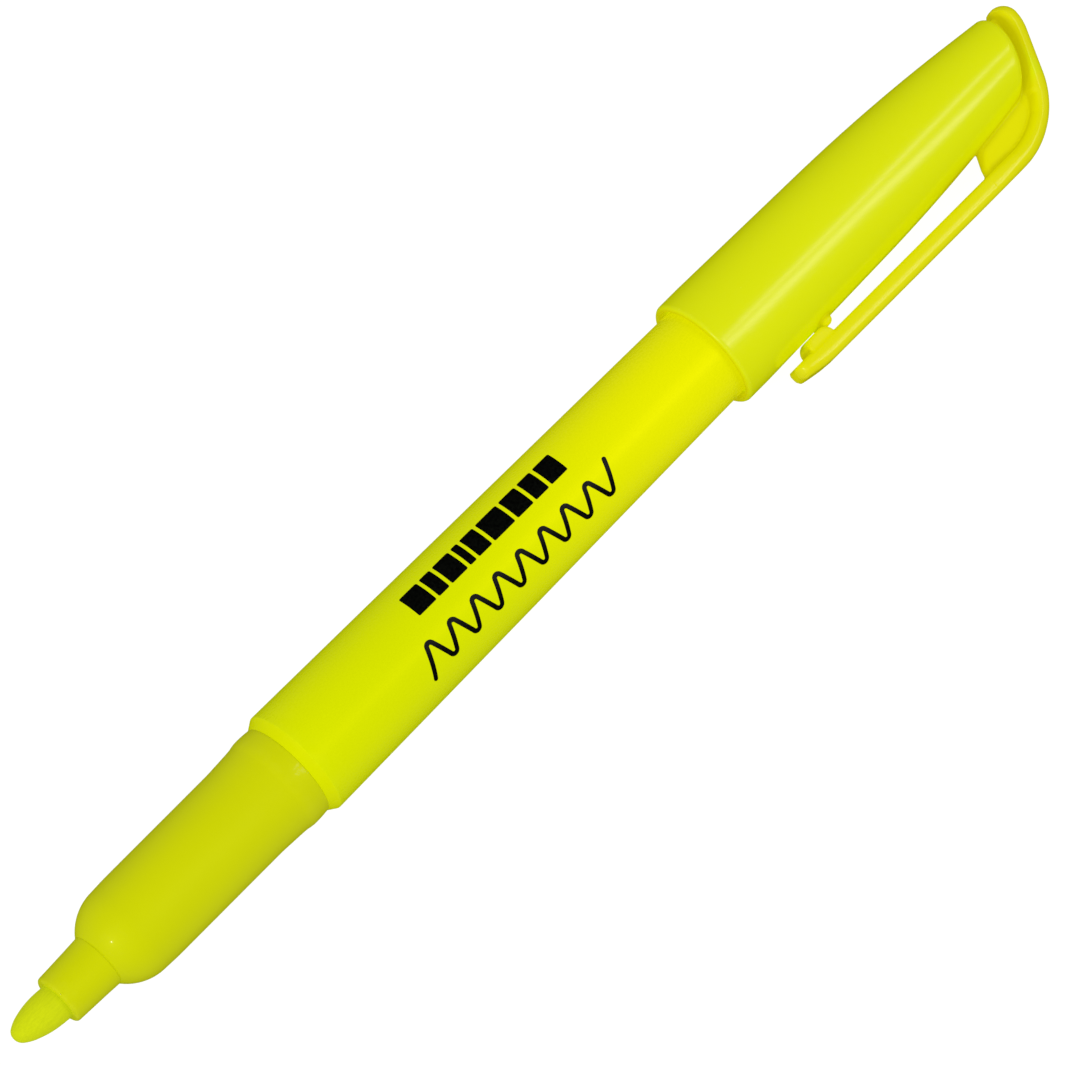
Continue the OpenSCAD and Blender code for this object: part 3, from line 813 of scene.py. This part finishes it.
def stroke(path, half, corner):
    """Thin closed film along a path of (x, arc) points, with round corners at both ends."""
    path = [np.array(p, float) for p in path]
    inner = [b - a for a, b in zip(path, path[2:])]
    direction = [d / np.linalg.norm(d)
                 for d in [path[1] - path[0]] + inner + [path[-1] - path[-2]]]
    steps = [math.radians(a) for a in (88, 66, 44, 22)]
    rows = []
    for a in steps:
        rows.append((path[0] + direction[0] * corner * (1 - math.sin(a)), direction[0],
                     half - corner + corner * math.cos(a)))
    start, end = path[0] + direction[0] * corner, path[-1] - direction[-1] * corner
    for p, d in zip(path, direction):
        if (p - start) @ direction[0] > 0 and (end - p) @ direction[-1] > 0:
            rows.append((p, d, half))
    for a in reversed(steps):
        rows.append((path[-1] - direction[-1] * corner * (1 - math.sin(a)), direction[-1],
                     half - corner + corner * math.cos(a)))
    points, faces = [], []
    across = (-1, -0.94, 0, 0.94, 1)
    for p, d, wide in rows:
        side = np.array([-d[1], d[0]])
        for k, lift in zip(across, (-0.01, 0.014, 0.018, 0.014, -0.01)):
            q = p + side * wide * k
            points.append(tuple(on_barrel(q[0], q[1], lift)))
    n = len(across)
    for i in range(len(rows) - 1):
        for k in range(n):
            m = (k + 1) % n
            faces.append((i * n + k, i * n + m, (i + 1) * n + m, (i + 1) * n + k))
    faces.append(tuple(range(n))[::-1])
    faces.append(tuple(len(points) - n + k for k in range(n)))
    return points, faces


def printed_mark():
    """Two plain rows in place of the printed words: solid bars, and one scribbled line."""
    bars_x, bars_top, bars_high, gap = 18.0, -4.42, 2.9, 0.38
    line_x, line_long, high, low, turns = 14.9, 28.2, 0.15, 4.4, 17
    shapes = []
    x = bars_x
    for width in (2.5, 1.5, 2.3, 0.9, 1.9, 3.0, 2.3, 1.9, 2.36):
        middle = x + width / 2
        path = [(middle, bars_top + bars_high * k / 12) for k in range(13)]
        shapes.append(stroke(path, half=width / 2, corner=0.16))
        x += width + gap
    zigzag = [(line_x + line_long * k / turns, high if k % 2 else low, 0.42)
              for k in range(turns + 1)]
    shapes.append(stroke(dense(soft_corners(zigzag, closed=False)), half=0.26, corner=0.25))
    points, faces = [], []
    for p, f in shapes:
        p, f = outward(p, f)
        faces += [tuple(len(points) + i for i in q) for q in f]
        points += p
    mesh = bpy.data.meshes.new("printed_mark")
    mesh.from_pydata([tuple(AXIS + Vector(p) * MM) for p in points], [], faces)
    mesh.validate()
    mesh.shade_smooth()
    mesh.set_sharp_from_angle(angle=math.radians(50))
    mesh.materials.append(pad_ink())
    return placed("printed_mark", mesh)


def dense(path, gap=0.3):
    """The same path with points no further than gap apart."""
    out = [path[0]]
    for a, b in zip(path, path[1:]):
        n = max(1, math.ceil(math.dist(a, b) / gap))
        out += [(a[0] + (b[0] - a[0]) * k / n, a[1] + (b[1] - a[1]) * k / n)
                for k in range(1, n + 1)]
    return out


mark = printed_mark()
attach(mark, "body")

# ---------------------------------------------------------------- pieces that keep their CAD shape

for node, material in (("rear_plug", gloss_plug), ("ink_reservoir", ink_core),
                       ("reservoir_sleeve", film), ("breather_tube", tube_white),
                       ("inner_cap", liner)):
    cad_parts[node].data.materials[0] = material

# ---------------------------------------------------------------- camera

DISTANCE = 0.727                 # metres
TILT = math.radians(17)          # the nib's end is nearer the camera
HEIGHT = math.radians(60)
SENSOR, LENS = 36.0, 245.7
AXIS_ANGLE = math.radians(45.067)    # the pen's slope in the picture
MIDDLE_X, MIDDLE_SIDE = 34.07, 0.51  # the point at the picture's middle
to_camera = Vector((-math.sin(TILT), -math.cos(TILT) * math.cos(HEIGHT),
                    math.cos(TILT) * math.sin(HEIGHT)))
seen_along = (ALONG - to_camera * ALONG.dot(to_camera)).normalized()
seen_clip = seen_along.cross(to_camera)
right = seen_along * math.cos(AXIS_ANGLE) + seen_clip * math.sin(AXIS_ANGLE)
up = seen_along * math.sin(AXIS_ANGLE) - seen_clip * math.cos(AXIS_ANGLE)
target = axis_point(MIDDLE_X) + seen_clip * MIDDLE_SIDE * MM
camera_data = bpy.data.cameras.new("camera")
camera_data.sensor_width, camera_data.lens = SENSOR, LENS
camera_data.clip_start, camera_data.clip_end = 0.01, 20
camera = placed("camera", camera_data)
place = Matrix((right, up, to_camera)).transposed().to_4x4()
place.translation = target + to_camera * DISTANCE
camera.matrix_world = place
bpy.context.scene.camera = camera

# ---------------------------------------------------------------- floor, lights, world

def floor_white():
    """Plain white paper that is lit from behind, so that it stays white without a shadow."""
    n = Nodes("floor_white")
    where = n.add("ShaderNodeTexCoord", 3)
    darker, paler = (0.14, 0.14, 0.14, 1), (0.15, 0.15, 0.15, 1)
    tone = mix(n, ramp(n, noise(n, where, 60), 0.3, 0.7), darker, paler)
    return n.surface(n.add(
        "ShaderNodeBsdfPrincipled", Base_Color=tone, Roughness=0.9, Specular_IOR_Level=0.1,
        Emission_Color=(1, 1, 1, 1), Emission_Strength=0.96))


FLOOR_HALF = 10                  # metres
floor_mesh = bpy.data.meshes.new("floor")
floor_mesh.from_pydata([(FLOOR_HALF * a, FLOOR_HALF * b, 0)
                        for a, b in ((-1, -1), (1, -1), (1, 1), (-1, 1))], [], [(0, 1, 2, 3)])
floor_mesh.materials.append(floor_white())
floor = placed("floor", floor_mesh)
floor.visible_glossy = False
floor.visible_diffuse = False

# the lights are placed by ring, from the pen toward the camera, and side, from it to the clip
ring = to_camera - ALONG * ALONG.dot(to_camera)
ring.normalize()
side = ALONG.cross(ring)


def area_light(name, place, size, radiance, along=ALONG, in_gloss=True):
    """A rectangular softbox of the given radiance that faces the pen, its long side along a
    direction."""
    data = bpy.data.lights.new(name, "AREA")
    data.shape = "RECTANGLE"
    data.size, data.size_y = size
    data.energy = radiance * math.pi * size[0] * size[1]
    lamp = placed(name, data)
    z = (place - target).normalized()
    x = (along - z * along.dot(z)).normalized()
    turn = Matrix((x, z.cross(x), z)).transposed().to_4x4()
    turn.translation = place
    lamp.matrix_world = turn
    lamp.visible_glossy = in_gloss


def strip(name, from_x, from_turn, to_x, to_turn, width, radiance):
    """A long narrow softbox one metre over the pen, between two points given by their distance
    toward the cap and their turn round the pen toward the clip, in degrees."""
    a, b = (target + ring + ALONG * x + side * math.tan(math.radians(turn))
            for x, turn in ((from_x, from_turn), (to_x, to_turn)))
    area_light(name, (a + b) / 2, ((b - a).length, width), radiance, b - a)


area_light("key", target + ring * 1.0 - ALONG * 1.2, (2.0, 2.0), 0.80, in_gloss=False)
area_light("end_fill", target + ring * 0.5 + ALONG * 1.3 + TO_CLIP * 0.4, (1.2, 1.2), 0.5,
           along=side, in_gloss=False)
area_light("sparkle", target - side * 0.12 + ring * 0.56 - ALONG * 0.83, (0.03, 0.03), 350)
strip("strip_near", 0.34, 8, 0.85, -2, width=0.10, radiance=4.2)
strip("strip_far", 0.34, 15, 0.85, 36, width=0.17, radiance=4.5)

WORLD_STRENGTH = 0.47
world = bpy.data.worlds.new("studio")
world.use_nodes = True
background = world.node_tree.nodes["Background"]
background.inputs["Color"].default_value = (1, 1, 1, 1)
background.inputs["Strength"].default_value = WORLD_STRENGTH
bpy.context.scene.world = world
world.cycles_visibility.glossy = False
bpy.context.scene.view_settings.view_transform = "Standard"
